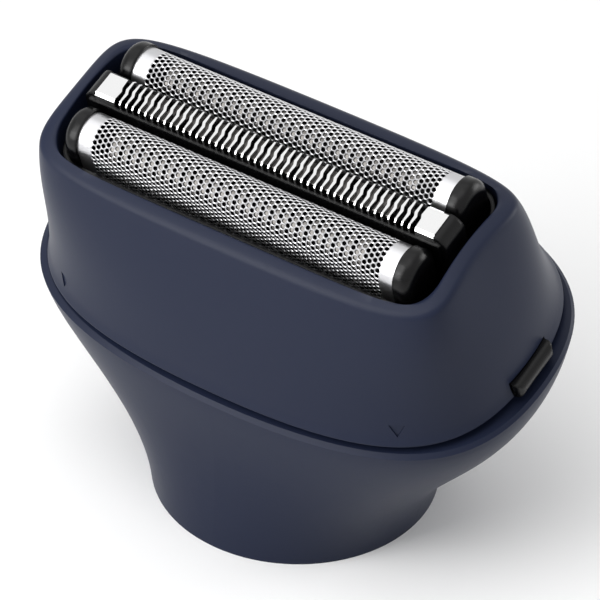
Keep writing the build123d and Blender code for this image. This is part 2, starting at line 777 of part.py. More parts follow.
def make_foil_frame():
    """Lofted cap with a sloping rim round the opening, open below, notched for the buttons."""
    shoulder_fullness = between(cap_foot_fullness, cap_rim_fullness, 1 / 2)
    sections = (
        (cap_lift, cap_foot_half_length, cap_foot_half_width, cap_foot_fullness),
        (cap_waist_height, cap_waist_half_length, cap_waist_half_width, cap_foot_fullness),
        (cap_shoulder_height, cap_shoulder_half_length, cap_shoulder_half_width, shoulder_fullness),
        (cap_rim_height, cap_rim_half_length, cap_rim_half_width, cap_rim_fullness),
    )
    cap = loft([(Pos(0, 0, z) * outline(a, b, f)).face() for z, a, b, f in sections])
    foot_edge = cap.faces().sort_by(Axis.Z)[0].outer_wire().edges()
    cap = chamfer(foot_edge, cap_foot_round)
    crest = outline(opening_half_length + opening_lip, opening_half_width + opening_lip, crest_fullness)
    rim = outline(cap_rim_half_length, cap_rim_half_width, cap_rim_fullness)
    slope = [(Pos(0, 0, cap_rim_height) * rim).face(), (Pos(0, 0, opening_height) * crest).face()]
    cap += loft(slope, ruled=True)
    hollow = [(z, a - cap_wall, b - cap_wall, f) for z, a, b, f in sections[:2]]
    hollow.append((liner_seat, skirt_half_length, skirt_half_width, cap_rim_fullness))
    cap -= loft([(Pos(0, 0, z) * outline(a, b, f)).face() for z, a, b, f in hollow], ruled=True)
    pocket = plan(skirt_half_length + fit_gap, skirt_half_width + fit_gap, skirt_corner + fit_gap)
    cap -= slab(pocket, liner_bottom - overcut, liner_seat)
    opening = plan(opening_half_length, opening_half_width, opening_corner)
    cap -= slab(opening, liner_seat - overcut, 2 * opening_height)
    half = button_half_width + fit_gap
    notch = block((flange_inner_x, button_outer + overcut), (-half, half), (0, button_top + fit_gap))
    catch_half = latch_half_width + fit_gap
    catch = block((flange_inner_x, latch_outer + fit_gap), (-catch_half, catch_half),
                  (button_bottom, button_top + latch_height + fit_gap))
    cap -= both_ends(notch + catch)
    triangle = RegularPolygon(mark_size, 3, rotation=-90)
    for x in (-mark_half_length, mark_half_length):
        inward = Axis((x, -2 * cap_foot_half_width, mark_height), (0, 1, 0))
        front = cap.find_intersection_points(inward)[0][0]
        mark = extrude(Plane.XZ * Pos(x, mark_height) * triangle, cap_wall)
        cap -= Pos(0, front.Y + mark_depth, 0) * mark
    return cap


# Release buttons

latch_inner = cap_foot_half_length - cap_wall + free_gap
latch_outer = latch_inner + latch_length


def make_button():
    """Right release button: a bar through the cap's notch, a flange behind the rim and a latch tooth."""
    stem = block((flange_outer_x, button_outer), (-button_half_width, button_half_width),
                 (button_bottom, button_top))
    outer_face = stem.faces().sort_by(Axis.X)[-1]
    stem = fillet(outer_face.edges(), button_round)
    flange_half = button_half_width + button_flange_width
    flange = block((flange_inner_x, flange_outer_x), (-flange_half, flange_half), (button_bottom, button_top))
    tooth = block((latch_inner, latch_outer), (-latch_half_width, latch_half_width),
                  (button_top, button_top + latch_height))
    return stem + flange + tooth


def make_button_spring():
    """Small coil spring between the right button's flange and its stop on the deck."""
    coil = coil_spring(button_spring_mean_radius, button_spring_wire_radius, button_spring_length,
                       button_spring_turns)
    return Pos(spring_seat_x, 0, (button_bottom + button_top) / 2) * Rot(0, 90, 0) * coil


def make_seal_ring():
    """Square rubber ring in the bulkhead's groove."""
    middle = neck_bore_depth + bulkhead_thickness / 2
    half = seal_groove_width / 2 - stop_gap
    outer = bulkhead_radius - stop_gap
    return ring(outer, outer - seal_ring_width, middle - half, middle + half)


def write(name, shape):
    """Save one piece as a STEP file under its own name."""
    export_step(shape, f"parts/{name}.step")


def write_pair(kind, shape):
    """Save a head piece twice, over the front and the rear foil line."""
    write(f"front_{kind}", head * Pos(0, -foil_offset, 0) * shape)
    write(f"rear_{kind}", head * Pos(0, foil_offset, 0) * shape)


os.makedirs("parts", exist_ok=True)

write("lower_body", make_lower_body())
write("neck_bulkhead", make_bulkhead())
write("bulkhead_seal", make_seal_ring())
bulkhead_screw = Pos(0, 0, neck_bore_depth + screw_head_height) * Rot(180, 0, 0) * make_screw()
write("bulkhead_screws", Compound(children=around_neck(bulkhead_screw)))
write("drive_deck", make_deck())
deck_screw = Pos(0, 0, deck_top - screw_head_height) * make_screw()
write("deck_screws", Compound(children=at_deck_screws(deck_screw)))

lower_bush_bottom = tube_bottom + shaft_seal_length
write("shaft_seal", ring(bush_radius, shaft_radius + running_gap, tube_bottom, lower_bush_bottom))
write("lower_bush", make_bush(lower_bush_bottom))
write("upper_bush", make_bush(lower_bush_bottom + bush_pitch))
write("drive_coupling", make_coupling())
write("drive_shaft", make_shaft())
write("crank_disc", make_disc())
write("crank_pin", make_pin())

write("front_guide_rod", head * make_guide_rod(-1))
write("rear_guide_rod", head * make_guide_rod(1))
write("drive_bridge", head * make_bridge())
coil = coil_spring(spring_mean_radius, spring_wire_radius, spring_length, spring_turns)
cutter_spring = Pos(0, 0, bridge_top) * coil
write_pair("cutter_spring", cutter_spring)
write_pair("cutter_holder", make_cutter_holder())
write_pair("cutter", make_cutter())
write("slit_cutter_spring", head * cutter_spring)
write("slit_cutter_holder", head * make_slit_holder())
write("slit_cutter", head * make_slit_cutter())

write_pair("foil", make_foil())
write_pair("foil_carrier", make_foil_carrier())
write("slit_comb", head * make_slit_comb())
write("slit_comb_carrier", head * make_comb_carrier())
write("cassette_liner", head * make_liner())
write("foil_frame", head * make_foil_frame())

right_button = make_button()
right_spring = make_button_spring()
write("right_button", head * right_button)
write("left_button", head * mirror(right_button, Plane.YZ))
write("right_button_spring", head * right_spring)
write("left_button_spring", head * mirror(right_spring, Plane.YZ))
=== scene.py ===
"""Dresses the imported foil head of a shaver: fine foils, a soft-edged cap, finishes, studio and camera.

Lengths in the classes are millimetres in the head frame, whose Z is square to the flange, and
each mesh is put into the frame's metres on its way to Blender.
"""

import json
import logging
import math
from dataclasses import dataclass
from enum import Enum

import bpy
import numpy as np
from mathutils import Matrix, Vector


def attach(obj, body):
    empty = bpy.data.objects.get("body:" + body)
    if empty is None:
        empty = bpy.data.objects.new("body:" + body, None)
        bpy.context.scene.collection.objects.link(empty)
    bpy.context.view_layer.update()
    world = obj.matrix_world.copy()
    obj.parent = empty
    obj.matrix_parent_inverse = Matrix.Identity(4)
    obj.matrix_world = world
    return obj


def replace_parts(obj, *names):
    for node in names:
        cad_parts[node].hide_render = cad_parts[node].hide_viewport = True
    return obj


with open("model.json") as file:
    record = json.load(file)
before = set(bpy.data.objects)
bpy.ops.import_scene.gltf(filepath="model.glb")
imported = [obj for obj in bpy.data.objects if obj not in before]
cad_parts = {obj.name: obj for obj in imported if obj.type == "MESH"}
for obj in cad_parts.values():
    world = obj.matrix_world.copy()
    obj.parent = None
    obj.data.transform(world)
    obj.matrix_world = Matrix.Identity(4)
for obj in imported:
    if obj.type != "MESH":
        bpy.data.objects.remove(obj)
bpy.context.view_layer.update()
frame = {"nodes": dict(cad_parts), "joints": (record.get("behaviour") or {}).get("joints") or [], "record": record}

LOG = logging.getLogger("foil_head")
MM = 0.001
SHARP_ANGLE = math.radians(35)
MIRROR_X = np.array([-1, 1, 1])


def linear(colour: str) -> tuple[float, float, float, float]:
    """Turns an sRGB hex colour into linear RGBA by the sRGB curve: a straight foot, then a power.

    Args:
        colour: six hex digits after a hash mark.

    Returns:
        Linear red, green and blue from 0 to 1, and an alpha of 1.
    """
    parts = [int(colour[i:i + 2], 16) / 255 for i in (1, 3, 5)]
    red, green, blue = (c / 12.92 if c <= 0.04045 else ((c + 0.055) / 1.055) ** 2.4 for c in parts)
    return red, green, blue, 1.0


def add_node(tree: bpy.types.NodeTree, kind: str, sockets: dict[str | int, object] | None = None,
             **settings: object) -> bpy.types.Node:
    """Adds one shader node with its settings, socket values and incoming links.

    Args:
        tree: the node tree to add to.
        kind: the node's type name.
        sockets: input name or number to a plain value, or to the output socket that feeds it.
        settings: attributes of the node.

    Returns:
        The new node.
    """
    node = tree.nodes.new(kind)
    for key, value in settings.items():
        setattr(node, key, value)
    for key, value in (sockets or {}).items():
        if isinstance(value, bpy.types.NodeSocket):
            tree.links.new(value, node.inputs[key])
        else:
            node.inputs[key].default_value = value
    return node


@dataclass(frozen=True)
class Finish:
    """One surface: what it is made of and what that gives the eye.

    Millimetres are the grain's width and depth, and the radius by which shading softens edges. A
    finish has a grain or softened edges, not both.
    """

    name: str
    colour: str
    roughness: float
    metallic: float = 0.0
    ior: float = 1.45
    grain_size: float = 0.0
    grain_depth: float = 0.0
    grain_detail: float = 2.0
    edge_round: float = 0.0

    def material(self) -> bpy.types.Material:
        """Builds the material, once for each finish.

        Returns:
            The material that carries this finish's name.
        """
        made = bpy.data.materials.get(self.name)
        if made is not None:
            return made
        made = bpy.data.materials.new(self.name)
        made.use_nodes = True
        tree = made.node_tree
        shader = tree.nodes["Principled BSDF"]
        shader.inputs["Base Color"].default_value = linear(self.colour)
        shader.inputs["Roughness"].default_value = self.roughness
        shader.inputs["Metallic"].default_value = self.metallic
        if not self.metallic:
            shader.inputs["IOR"].default_value = self.ior
        if self.grain_size:
            place = add_node(tree, "ShaderNodeTexCoord")
            noise = add_node(tree, "ShaderNodeTexNoise", {
                "Vector": place.outputs["Object"], "Scale": 1 / (self.grain_size * MM),
                "Detail": self.grain_detail})
            bump = add_node(tree, "ShaderNodeBump", {
                "Height": noise.outputs["Fac"], "Distance": self.grain_depth * MM, "Strength": 1.0})
            tree.links.new(bump.outputs["Normal"], shader.inputs["Normal"])
        if self.edge_round:
            soft = add_node(tree, "ShaderNodeBevel", {"Radius": self.edge_round * MM})
            tree.links.new(soft.outputs["Normal"], shader.inputs["Normal"])
        return made


class Surface(Enum):
    """The finishes of the head, by the name of the record's material slot."""

    # Soft-touch lacquer on moulded ABS: a dark navy with a broad, dull highlight, matched by an IOR
    # below that of a lacquer, and a faint grain, drawn coarser than the real one so that it shows
    NAVY = ("navy_shell", Finish("navy_soft_touch_lacquer", "#1a2033", 0.4, ior=1.25, grain_size=0.35,
                                 grain_depth=0.004))
    # Moulded black POM: satin, with small crisp highlights on its round ends and softened edges
    BLACK = ("black_moulding", Finish("black_acetal_moulding", "#060607", 0.22, ior=1.3, edge_round=0.45))
    # Electroformed nickel: bright webs with soft highlights between the holes
    FOIL = ("foil_nickel", Finish("electroformed_nickel_foil", "#c6c6c8", 0.32, metallic=1.0))
    # Ground stainless strip: bright, with a little spread in its highlights
    COMB = ("polished_steel", Finish("ground_stainless_strip", "#c0c0c0", 0.2, metallic=1.0))
    # Hardened blade steel, painted darker for the shade under the foils, so the blades show as soft bars through
    # the holes
    BLADE = ("blade_steel", Finish("blade_steel_painted_shade", "#545250", 0.25, metallic=1.0))
    # Turned steel of the drive: light grey with a satin sheen
    TURNED = ("turned_steel", Finish("turned_steel", "#b4b2ae", 0.3, metallic=1.0))
    # Drawn spring wire: darker and a little duller than the turned steel
    SPRING = ("spring_steel", Finish("drawn_spring_wire", "#9c9a97", 0.35, metallic=1.0))
    # Moulded white POM: slightly waxy
    WHITE = ("white_acetal", Finish("white_acetal_moulding", "#dedcd4", 0.42))
    # Oil-filled sintered bronze: dull and warm
    BRONZE = ("sintered_bronze", Finish("sintered_bronze", "#a87c42", 0.5, metallic=1.0))
    # Nitrile rubber: dull black
    RUBBER = ("seal_rubber", Finish("nitrile_rubber", "#151515", 0.7))

    @property
    def slot(self) -> str:
        """The record's slot for this finish."""
        return self.value[0]

    @property
    def finish(self) -> Finish:
        """The finish itself."""
        return self.value[1]


@dataclass(frozen=True)
class HeadFrame:
    """The tilted frame of the head: how far its origin lies above the floor and behind the neck's axis."""

    rise: float = 26.0
    back: float = 1.45

    @property
    def up(self) -> np.ndarray:
        """The head's Z axis, along which the foils float."""
        joint = next(j for j in frame["joints"] if j["name"] == "front_foil_float")
        axis = np.array(joint["axis"], float)
        return axis / np.linalg.norm(axis)

    def place(self, points: np.ndarray) -> np.ndarray:
        """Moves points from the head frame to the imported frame.

        Args:
            points: millimetres in the head frame, shape (..., 3).

        Returns:
            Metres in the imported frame, same shape.
        """
        up = self.up
        across = np.array([0.0, up[2], -up[1]])
        x, y, z = points[..., 0, None], points[..., 1, None], points[..., 2, None]
        base = np.array([0.0, self.back, self.rise])
        return MM * (base + x * np.array([1.0, 0.0, 0.0]) + y * across + z * up)


def add_object(name: str, data: bpy.types.ID) -> bpy.types.Object:
    """Puts a mesh, a lamp or a camera into the scene.

    Args:
        name: the object's name.
        data: the mesh, lamp or camera that it shows.

    Returns:
        The new object.
    """
    thing = bpy.data.objects.new(name, data)
    bpy.context.scene.collection.objects.link(thing)
    return thing


def make_mesh(name: str, vertices: np.ndarray, faces: list[np.ndarray]) -> bpy.types.Mesh:
    """Puts arrays into a new mesh.

    Args:
        name: the mesh's name.
        vertices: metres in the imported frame, shape (n, 3).
        faces: arrays of vertex numbers, one array for each number of corners or part of the shape.

    Returns:
        The new mesh.
    """
    mesh = bpy.data.meshes.new(name)
    mesh.from_pydata(vertices.tolist(), [], [face for group in faces for face in group.tolist()])
    mesh.update()
    return mesh


def shade(mesh: bpy.types.Mesh) -> None:
    """Shades a mesh smooth, apart from its sharp edges."""
    mesh.shade_smooth()
    mesh.set_sharp_from_angle(angle=SHARP_ANGLE)


def make_piece(name: str, vertices: np.ndarray, faces: list[np.ndarray], surface: Surface,
               body: str) -> bpy.types.Object:
    """Makes one piece of the scene from arrays and lets it ride on a body.

    Args:
        name: the piece's name.
        vertices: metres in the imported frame, shape (n, 3).
        faces: arrays of vertex numbers, as make_mesh takes them.
        surface: the piece's finish.
        body: the body it rides on.

    Returns:
        The new object.
    """
    mesh = make_mesh(name, vertices, faces)
    shade(mesh)
    mesh.materials.append(surface.finish.material())
    piece = add_object(name, mesh)
    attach(piece, body)
    LOG.info("%s: %d vertices on %s", name, len(vertices), body)
    return piece


def cut_out(piece: bpy.types.Object, vertices: np.ndarray, faces: list[np.ndarray]) -> None:
    """Cuts closed blocks out of a piece and leaves it a plain mesh.

    Args:
        piece: the piece to cut.
        vertices: the blocks' corners in metres.
        faces: arrays of corner numbers, as make_mesh takes them.
    """
    mesh = make_mesh("cutting_blocks", vertices, faces)
    tool = add_object("cutting_blocks", mesh)
    cut = piece.modifiers.new("cut", "BOOLEAN")
    cut.object = tool
    cut.solver = "EXACT"
    cut.operation = "DIFFERENCE"
    cut.use_self = True
    shaped = bpy.data.meshes.new_from_object(piece.evaluated_get(bpy.context.evaluated_depsgraph_get()))
    piece.modifiers.clear()
    whole = piece.data
    piece.data = shaped
    shaped.name = whole.name
    bpy.data.meshes.remove(whole)
    bpy.data.objects.remove(tool)
    bpy.data.meshes.remove(mesh)
    shade(shaped)


class Line(Enum):
    """The two foil lines, with the side of the comb that each is on."""

    FRONT = -1
    REAR = 1


@dataclass(frozen=True)
class FoilSheet:
    """Arched foil with a hexagonal lattice of holes, in the place of a CAD foil.

    The offset is from the comb to the foil's own line, and the arch height is that of the arch's axis.
    A hole corner of 0 is a round hole and 1 a sharp hexagon. The web round is how far the edge of a
    hole lies below the outer face, and leg holes is how far the holes run down the legs. The ring is
    the number of points round a cell. Corners merge when they agree to the merge digits.
    """

    head: HeadFrame
    half_length: float = 20.0
    radius: float = 2.58
    thickness: float = 0.08
    offset: float = 4.97
    arch_height: float = 18.93
    foot: float = 13.2
    pitch: float = 0.647
    hole_width: float = 0.49
    hole_corner: float = 0.7
    web_round: float = 0.065
    plain_end: float = 1.75
    leg_holes: float = 4.0
    ring: int = 12
    merge_digits: int = 5
    least_area: float = 5e-7

    @property
    def quarter(self) -> float:
        """Arc length from the crown to where a leg starts."""
        return self.radius * math.pi / 2

    @property
    def half_girth(self) -> float:
        """Length of the sheet from the crown to a foot."""
        return self.quarter + self.arch_height - self.foot

    def lattice(self) -> np.ndarray:
        """Cell centres of the whole sheet: columns along X, every other one shifted by half a pitch.

        Returns:
            Flat positions along the sheet and round it, shape (cells, 2).
        """
        step = self.pitch * math.sqrt(3) / 2
        last_column = math.ceil(self.half_length / step)
        last_row = math.ceil(self.half_girth / self.pitch)
        columns = np.arange(-last_column, last_column + 1)
        rows = np.arange(-last_row - 1, last_row + 1)
        column, row = np.meshgrid(columns, rows, indexing="ij")
        centres = np.stack([column * step, (row + 0.5 * (column % 2)) * self.pitch], axis=-1).reshape(-1, 2)
        limit = np.array([self.half_length, self.half_girth]) + self.pitch / 2
        return centres[(np.abs(centres) < limit).all(axis=1)]

    def flat_sheet(self) -> tuple[np.ndarray, np.ndarray, np.ndarray]:
        """The developed sheet: each cell is a hexagon, cut by a hole with sunken edges or filled.

        Returns:
            Positions along the sheet, round it and below its outer face, then the quads round the holes
            and the triangles that fill the other cells.
        """
        angle = 2 * np.pi * np.arange(self.ring) / self.ring
        to_corner = np.where(np.arange(self.ring) % 2 == 0, 2 / math.sqrt(3), 1.0)
        around = np.stack([np.cos(angle), np.sin(angle)], axis=-1)
        rim = around * to_corner[:, None] * self.pitch / 2
        hole = around * (1 + self.hole_corner * (to_corner[:, None] - 1)) * self.hole_width / 2
        centres = self.lattice()
        holed_part = np.array([self.half_length - self.plain_end, self.quarter + self.leg_holes])
        holed = (np.abs(centres) < holed_part).all(axis=1)
        limit = np.array([self.half_length, self.half_girth])
        rims = np.clip(centres[:, None] + rim, -limit, limit).reshape(-1, 2)
        holes = (centres[:, None] + hole).reshape(-1, 2)
        middles = np.clip(centres, -limit, limit)
        depth = np.repeat([0.0, self.web_round, 0.0], [len(rims), len(holes), len(middles)])
        vertices = np.column_stack([np.concatenate([rims, holes, middles]), depth])
        near = np.arange(len(rims)).reshape(-1, self.ring)
        far = np.roll(near, -1, axis=1)
        quads = np.stack([near, far, far + near.size, near + near.size], axis=-1)[holed].reshape(-1, 4)
        hub = np.repeat((2 * near.size + np.arange(len(middles)))[:, None], self.ring, axis=1)
        fans = np.stack([hub, near, far], axis=-1)[~holed].reshape(-1, 3)
        return vertices, quads, fans

    def welded_sheet(self) -> tuple[np.ndarray, np.ndarray, np.ndarray]:
        """The developed sheet with equal corners merged, and without empty triangles and loose corners.

        Returns:
            Positions, quads and triangles, as flat_sheet gives them.
        """
        flat, quads, fans = self.flat_sheet()
        points, number = np.unique(np.round(flat, self.merge_digits), axis=0, return_inverse=True)
        number = number.reshape(-1)
        quads, fans = number[quads], number[fans]
        one_side = points[fans[:, 1]] - points[fans[:, 0]]
        other_side = points[fans[:, 2]] - points[fans[:, 0]]
        area = np.abs(one_side[:, 0] * other_side[:, 1] - one_side[:, 1] * other_side[:, 0]) / 2
        fans = fans[area > self.least_area]
        kept = np.unique(np.concatenate([quads.ravel(), fans.ravel()]))
        renumber = np.zeros(len(points), int)
        renumber[kept] = np.arange(len(kept))
        return points[kept], renumber[quads], renumber[fans]

    def walls(self, quads: np.ndarray, fans: np.ndarray, size: int) -> np.ndarray:
        """Quads from the outer to the inner face, along every edge that only one face uses.

        Args:
            quads: quads of the outer face.
            fans: triangles of the outer face.
            size: number of corners of the outer face, after which the inner corners follow.

        Returns:
            Corner numbers, shape (walls, 4).
        """
        start = np.concatenate([quads.ravel(), fans.ravel()])
        stop = np.concatenate([np.roll(quads, -1, axis=1).ravel(), np.roll(fans, -1, axis=1).ravel()])
        open_edge = ~np.isin(start * size + stop, stop * size + start)
        start, stop = start[open_edge], stop[open_edge]
        return np.stack([stop, start, start + size, stop + size], axis=-1)

    def bend(self, flat: np.ndarray) -> np.ndarray:
        """Bends flat positions over the arch: round the crown, then straight down the legs.

        Args:
            flat: positions along the sheet, round it and below its outer face.

        Returns:
            Points in the head frame about the foil's own line, shape (n, 3).
        """
        along, round_arch, depth = flat.T
        turn = np.clip(round_arch, -self.quarter, self.quarter) / self.radius
        drop = np.maximum(np.abs(round_arch) - self.quarter, 0)
        reach = self.radius - depth
        height = self.arch_height + reach * np.cos(turn) - drop
        return np.stack([along, reach * np.sin(turn), height], axis=-1)

    def build(self, line: Line) -> bpy.types.Object:
        """Makes the foil of one line and puts it in the place of the CAD foil.

        Args:
            line: the foil line.

        Returns:
            The foil's object.
        """
        outer, quads, fans = self.welded_sheet()
        size = len(outer)
        inner = np.column_stack([outer[:, :2], np.full(size, self.thickness)])
        points = self.bend(np.concatenate([outer, inner]))
        points[:, 1] += line.value * self.offset
        inner_faces = [quads[:, ::-1] + size, fans[:, ::-1] + size]
        faces = [quads, fans] + inner_faces + [self.walls(quads, fans, size)]
        name = line.name.lower()
        foil = make_piece(f"{name}_foil_sheet", self.head.place(points), faces, Surface.FOIL,
                          f"{name}_foil_unit")
        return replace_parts(foil, f"{name}_foil")


@dataclass(frozen=True)
class Section:
    """One cross-section of a moulding: its height, half sizes and how full its corners are."""

    height: float
    half_length: float
    half_width: float
    along: float
    across: float

    def handles(self) -> np.ndarray:
        """The numbers that blend from section to section.

        Returns:
            Side, side handle, crown handle, crown and height.
        """
        return np.array([self.half_length, self.across * self.half_width, self.along * self.half_length,
                         self.half_width, self.height])

    def inset(self, wall: float) -> "Section":
        """The same section drawn in by a wall."""
        return Section(self.height, self.half_length - wall, self.half_width - wall, self.along, self.across)


@dataclass(frozen=True)
class Plan:
    """A rounded rectangle: half length, half width and corner radius."""

    half_length: float
    half_width: float
    corner: float


@dataclass(frozen=True)
class Recess:
    """A block that is cut out of the right end: its reach along X, half width and reach along Z."""

    inner: float
    outer: float
    half_width: float
    bottom: float
    top: float

    def corners(self) -> np.ndarray:
        """The block's eight corners in the head frame, counted by X, then Y, then Z.

        Returns:
            Points, shape (8, 3).
        """
        along, across = (self.inner, self.outer), (-self.half_width, self.half_width)
        return np.array([(x, y, z) for x in along for y in across for z in (self.bottom, self.top)])


@dataclass(frozen=True)
class Mark:
    """A sunken triangle on the front wall: place along X, height, reach to its corners and depth."""

    along: float
    height: float
    reach: float
    depth: float


@dataclass(frozen=True)
class FrameShell:
    """Navy cap with the soft edges of a moulding, in the place of the CAD cap.

    The slope is the rim between the outer wall and the opening, and its start and stop are the shares
    of it where the rounds beside it end. The ends rise between the rise's foot and head. The prism
    height is how far the block that cuts a mark stands out of the wall.
    """

    head: HeadFrame
    sections: tuple[Section, ...] = (
        Section(0.8, 29.3, 17.6, 0.75, 0.75), Section(6.0, 28.75, 15.75, 0.75, 0.75),
        Section(12.5, 27.3, 13.1, 0.9535, 0.8295), Section(17.6, 25.45, 10.55, 1.157, 0.909))
    crest: Section = Section(18.1, 23.97, 9.02, 1.197, 0.973)
    opening: Plan = Plan(23.85, 8.9, 4.1)
    pocket: Plan = Plan(25.06, 10.05, 4.75)
    seat: float = 14.65
    wall: float = 1.9
    foot_round: float = 0.5
    foot_flare: float = 0.22
    flare_span: float = 1.6
    rim_round: float = 0.6
    slope_start: float = 0.35
    slope_stop: float = 0.85
    lip_round: float = 0.4
    end_rise: float = 1.85
    rise_power: float = 0.95
    rise_foot: float = 9.0
    rise_head: float = 17.0
    notch: Recess = Recess(25.7, 31.3, 3.45, -1.0, 3.1)
    catch: Recess = Recess(25.7, 28.45, 2.15, 2.6, 4.0)
    mark: Mark = Mark(21.7, 2.8, 1.0, 0.14)
    prism_height: float = 1.0
    quarter_columns: int = 60
    wall_rows: int = 40
    round_rows: int = 8

    def ring(self, handles: np.ndarray) -> np.ndarray:
        """Points round one section: a cubic Bezier quarter from the side to the crown, mirrored three times.

        Args:
            handles: side, side handle, crown handle, crown and height.

        Returns:
            Points in the head frame, counter-clockwise from +X, shape (columns, 3).
        """
        side, side_handle, crown_handle, crown, height = handles
        t = np.linspace(0, 1, self.quarter_columns + 1)[:, None]
        weights = np.concatenate([(1 - t) ** 3, 3 * t * (1 - t) ** 2, 3 * t ** 2 * (1 - t), t ** 3], axis=1)
        quarter = weights @ np.array([(side, 0), (side, side_handle), (crown_handle, crown), (0, crown)])
        half = np.concatenate([quarter[:-1], quarter[:0:-1] * MIRROR_X[:2]])
        flat = np.concatenate([half, -half])
        return np.column_stack([flat, np.full(len(flat), height)])

    def rounded(self, points: np.ndarray, plan: Plan, height: float) -> np.ndarray:
        """Nearest points on a rounded rectangle: each is clamped to its core and pushed out by its corner.

        Args:
            points: a ring in the head frame.
            plan: the rounded rectangle.
            height: height of the result.

        Returns:
            The ring on the rounded rectangle, same shape.
        """
        core = np.array([plan.half_length - plan.corner, plan.half_width - plan.corner])
        near = np.clip(points[:, :2], -core, core)
        out = points[:, :2] - near
        flat = near + plan.corner * out / np.linalg.norm(out, axis=1, keepdims=True)
        return np.column_stack([flat, np.full(len(flat), height)])

    def soften(self, start: np.ndarray, corner: np.ndarray, stop: np.ndarray) -> list[np.ndarray]:
        """Rows of a quadratic Bezier over an edge, from one ring to another by way of the sharp corner."""
        return [(1 - t) ** 2 * start + 2 * t * (1 - t) * corner + t ** 2 * stop
                for t in np.linspace(0, 1, self.round_rows + 1)]

    def profile(self) -> tuple[np.ndarray, np.ndarray]:
        """The outer wall's handles as polynomials of the length up the wall, through all sections.

        Returns:
            The sections' lengths up the wall, and the coefficients from the highest power down.
        """
        handles = np.array([section.handles() for section in self.sections])
        steps = np.diff(handles[:, [0, 3, 4]], axis=0)
        lengths = np.concatenate([[0], np.cumsum(np.linalg.norm(steps, axis=1))])
        return lengths, np.polyfit(lengths, handles, len(handles) - 1)

    def outside(self, curve: np.ndarray, length: float) -> np.ndarray:
        """Ring of the outer wall, whose foot turns outward by the square of what is left of the flare's span.

        Args:
            curve: the handles' coefficients from the highest power down.
            length: length up the wall.

        Returns:
            Points in the head frame, shape (columns, 3).
        """
        flare = self.foot_flare * max(0.0, 1 - length / self.flare_span) ** 2
        outward = np.array([1, 1, 1, 1, 0])
        powers = range(len(curve) - 1, -1, -1)
        return self.ring(sum(k * length ** p for k, p in zip(curve, powers)) + flare * outward)

    def rows(self) -> np.ndarray:
        """Rings of the closed profile: up the outside, over the rim, down the opening and the hollow.

        The upper rows rise over the two ends by a power of one minus the square of their place across,
        and the rise grows with the square of the height. The seat and the hollow stay level.

        Returns:
            Points in the head frame, shape (rows, columns, 3).
        """
        lengths, curve = self.profile()
        top = lengths[-1]
        foot, rim, crest = self.outside(curve, 0), self.outside(curve, top), self.ring(self.crest.handles())
        low, high = self.foot_round, top - self.rim_round
        hollow = [self.ring(section.inset(self.wall).handles()) for section in self.sections[:2]]
        bottom = foot + self.foot_round / self.wall * (hollow[0] - foot)
        slope_start = rim + self.slope_start * (crest - rim)
        slope_stop = rim + self.slope_stop * (crest - rim)
        edge = self.rounded(crest, self.opening, self.crest.height)
        lip = self.rounded(crest, self.opening, self.crest.height - self.lip_round)
        rows = self.soften(bottom, foot, self.outside(curve, low))
        rows += [self.outside(curve, length) for length in np.linspace(low, high, self.wall_rows)[1:]]
        rows += self.soften(self.outside(curve, high), rim, slope_start)[1:]
        rows += self.soften(slope_stop, edge, lip)
        inside = [self.rounded(crest, plan, self.seat) for plan in (self.opening, self.pocket)] + hollow[::-1]
        rows = np.array(rows + inside)
        share = np.clip((rows[:, 0, 2] - self.rise_foot) / (self.rise_head - self.rise_foot), 0, 1) ** 2
        share[-len(inside):] = 0
        across = np.clip(1 - (crest[:, 1] / self.crest.half_width) ** 2, 0, 1)
        rows[:, :, 2] += share[:, None] * self.end_rise * across ** self.rise_power
        return rows

    def wall_at(self, x: float, height: float) -> tuple[np.ndarray, np.ndarray, np.ndarray]:
        """A place on the front of the outer wall.

        Args:
            x: place along the head.
            height: height in the head frame.

        Returns:
            The point, the wall's outward normal there and its uphill direction.
        """
        wall = self.rows()[self.round_rows:self.round_rows + self.wall_rows]
        levels = wall[:, 0, 2]
        level = int(np.abs(levels - height).argmin())
        front = np.flatnonzero(wall[level, :, 1] < 0)
        column = front[np.abs(wall[level, front, 0] - x).argmin()]
        point = wall[level, column]
        along = wall[level, column + 1] - wall[level, column - 1]
        uphill = wall[level + 1, column] - wall[level - 1, column]
        normal = np.cross(along, uphill)
        normal = normal / np.linalg.norm(normal)
        return point, normal, uphill / np.linalg.norm(uphill)

    def cutters(self) -> tuple[np.ndarray, list[np.ndarray]]:
        """Closed blocks for the button notches and catches, and prisms for the two triangle marks.

        Each is worked out on the right and mirrored to the left. There a block's faces turn round and a
        prism's corners change places, so that every face still points outwards.

        Returns:
            Points in the head frame and arrays of faces.
        """
        quads = np.array([(0, 1, 3, 2), (4, 6, 7, 5), (0, 4, 5, 1), (2, 3, 7, 6), (0, 2, 6, 4), (1, 5, 7, 3)])
        blocks = [self.notch.corners(), self.catch.corners()]
        block_faces = [quads] * len(blocks) + [quads[:, ::-1]] * len(blocks)
        blocks += [corners * MIRROR_X for corners in blocks]
        starts = np.cumsum([0] + [len(corners) for corners in blocks])
        faces = [block + start for block, start in zip(block_faces, starts)]
        centre, normal, up = self.wall_at(self.mark.along, self.mark.height)
        turn = np.radians([-90, 30, 150])[:, None]
        triangle = centre + self.mark.reach * (np.cos(turn) * np.cross(up, normal) + np.sin(turn) * up)
        prism = np.concatenate([triangle - self.mark.depth * normal, triangle + self.prism_height * normal])
        mirrored = prism[[0, 2, 1, 3, 5, 4]] * MIRROR_X
        sides = np.array([(0, 1, 4, 3), (1, 2, 5, 4), (2, 0, 3, 5)]) + starts[-1]
        caps = np.array([(0, 2, 1), (3, 4, 5)]) + starts[-1]
        faces += [sides, sides + len(prism), caps, caps + len(prism)]
        return np.concatenate(blocks + [prism, mirrored]), faces

